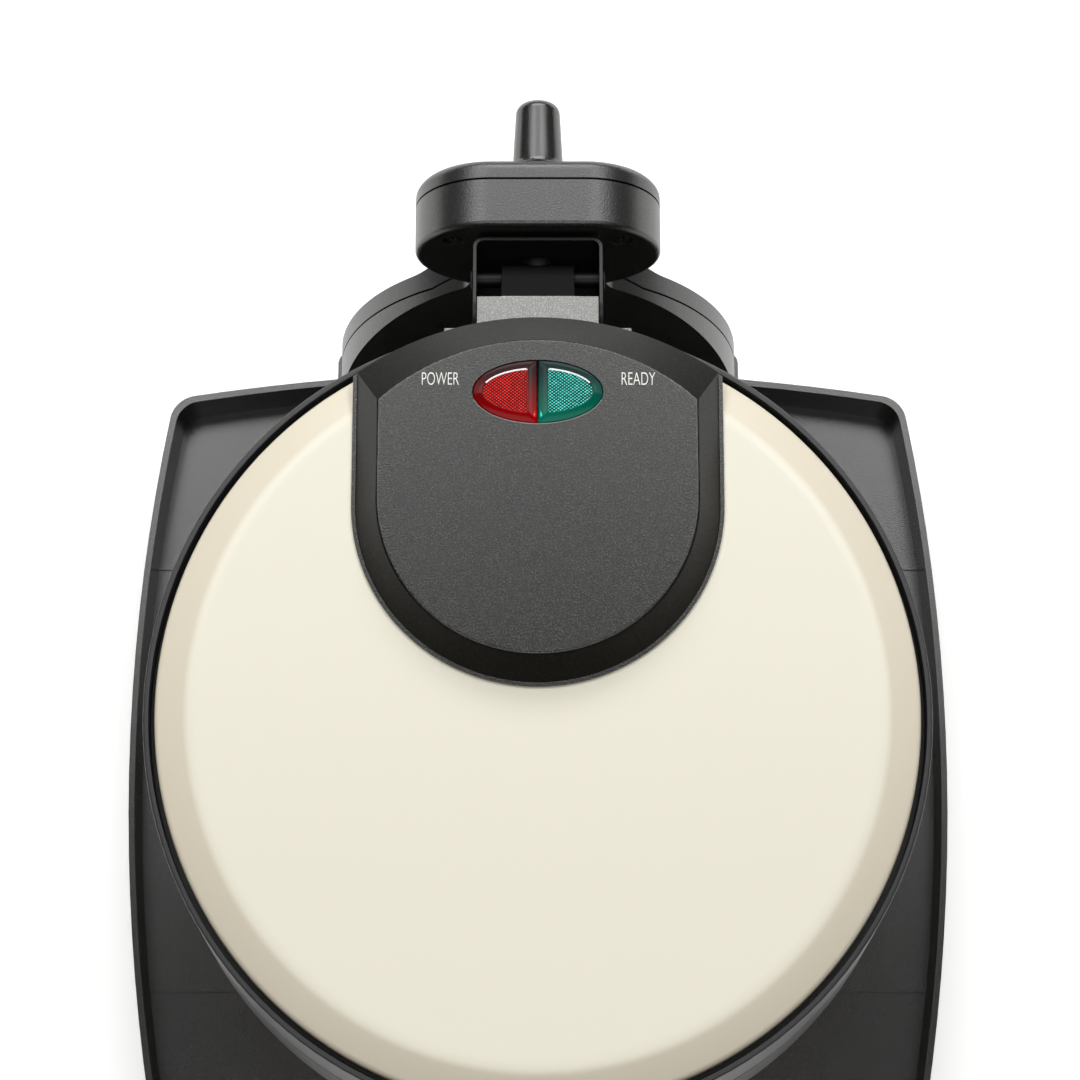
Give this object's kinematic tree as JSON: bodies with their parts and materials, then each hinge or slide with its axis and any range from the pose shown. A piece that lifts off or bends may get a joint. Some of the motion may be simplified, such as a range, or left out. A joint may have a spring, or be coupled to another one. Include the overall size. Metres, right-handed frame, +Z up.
{
  "type": "waffle maker",
  "caption": "Round rotating waffle maker: hinged halves on a flip shaft, column with drip base, indicator panel, handles with wire latch.",
  "frame": {"origin": "on the worktop, under the middle of the outline from above", "axes": "+X to the right, +Y from the handle towards the column, +Z up; flip axis along Y at z = 128 mm"},
  "size_m": [0.25, 0.394, 0.1706],
  "materials": {
    "cream_enamel": "gloss",
    "black_moulding": "satin, fine grain",
    "dark_ring": "satin",
    "red_lens": "clear tinted",
    "green_lens": "clear tinted",
    "lamp_glass": "clear",
    "white_moulding": "matt",
    "bare_steel": "brushed",
    "black_steel": "black oxide",
    "screw_steel": "bright",
    "dark_bracket": "satin",
    "coated_casting": "dark non-stick coat",
    "element_sheath": "heat-dulled",
    "shield_sheet": "mill finish",
    "fuse_case": "plated",
    "contact_leaf": "sprung strip",
    "bush_bronze": "turned",
    "foot_rubber": "matt",
    "gland_nylon": "satin"
  },
  "bodies": {
    "stand": {"base_tray": "black_moulding", "column_front": "black_moulding", "column_rear_cover": "black_moulding", "storage_post": "black_moulding", "pivot_bush": "bush_bronze", "rubber_feet": "foot_rubber", "column_screws": "screw_steel", "head_screws": "screw_steel", "rear_cover_screws": "screw_steel", "cord_gland": "gland_nylon", "terminal_block": "white_moulding", "bottom_plate": "black_moulding"},
    "cooker": {"flip_shaft": "bare_steel", "shaft_nut": "bare_steel", "thrust_washer": "bare_steel", "hinge_bracket": "dark_bracket", "bracket_screws": "screw_steel", "hinge_pin": "black_steel", "lower_housing": "dark_ring", "lower_cover": "cream_enamel", "lower_grid": "coated_casting", "lower_heater": "element_sheath", "lower_reflector": "shield_sheet", "lower_thermostat_base": "white_moulding", "lower_thermal_fuse": "fuse_case", "lower_grid_screws": "screw_steel", "lower_handle": "black_moulding", "lower_handle_screws": "screw_steel"},
    "lid": {"hinge_strap": "bare_steel", "strap_screws": "screw_steel", "upper_housing": "dark_ring", "lid_cover": "cream_enamel", "light_panel": "black_moulding", "panel_screws": "screw_steel", "power_lens": "red_lens", "ready_lens": "green_lens", "power_lamp": "lamp_glass", "ready_lamp": "lamp_glass", "lamp_holder": "white_moulding", "cover_clips": "bare_steel", "upper_grid": "coated_casting", "upper_heater": "element_sheath", "upper_reflector": "shield_sheet", "upper_thermostat_base": "white_moulding", "upper_thermal_fuse": "fuse_case", "upper_grid_screws": "screw_steel", "upper_handle": "black_moulding", "upper_handle_screws": "screw_steel"},
    "latch": {"latch_bail": "bare_steel"},
    "upper_contact": {"upper_contact_arm": "contact_leaf"},
    "lower_contact": {"lower_contact_arm": "contact_leaf"}
  },
  "joints": [
    {"name": "flip", "type": "hinge", "parent": "stand", "child": "cooker", "pos_m": [0, 0.154, 0.128], "axis": [0, -1, 0], "range_deg": [-180, 0]},
    {"name": "lid_open", "type": "hinge", "parent": "cooker", "child": "lid", "pos_m": [0, 0.1425, 0.141], "axis": [-1, 0, 0], "range_deg": [0, 90]},
    {"name": "latch", "type": "hinge", "parent": "lid", "child": "latch", "pos_m": [0, -0.182, 0.135], "axis": [1, 0, 0], "range_deg": [0, 225]},
    {"name": "upper_contact", "type": "hinge", "parent": "lid", "child": "upper_contact", "pos_m": [-0.011, 0.014, 0.1529], "axis": [0, -1, 0], "range_deg": [0, 3], "stiffness_Nm_per_rad": 0.002, "springref_deg": -5.73},
    {"name": "lower_contact", "type": "hinge", "parent": "cooker", "child": "lower_contact", "pos_m": [0.011, 0.014, 0.1031], "axis": [0, -1, 0], "range_deg": [0, 3], "stiffness_Nm_per_rad": 0.002, "springref_deg": -5.73}
  ]
}
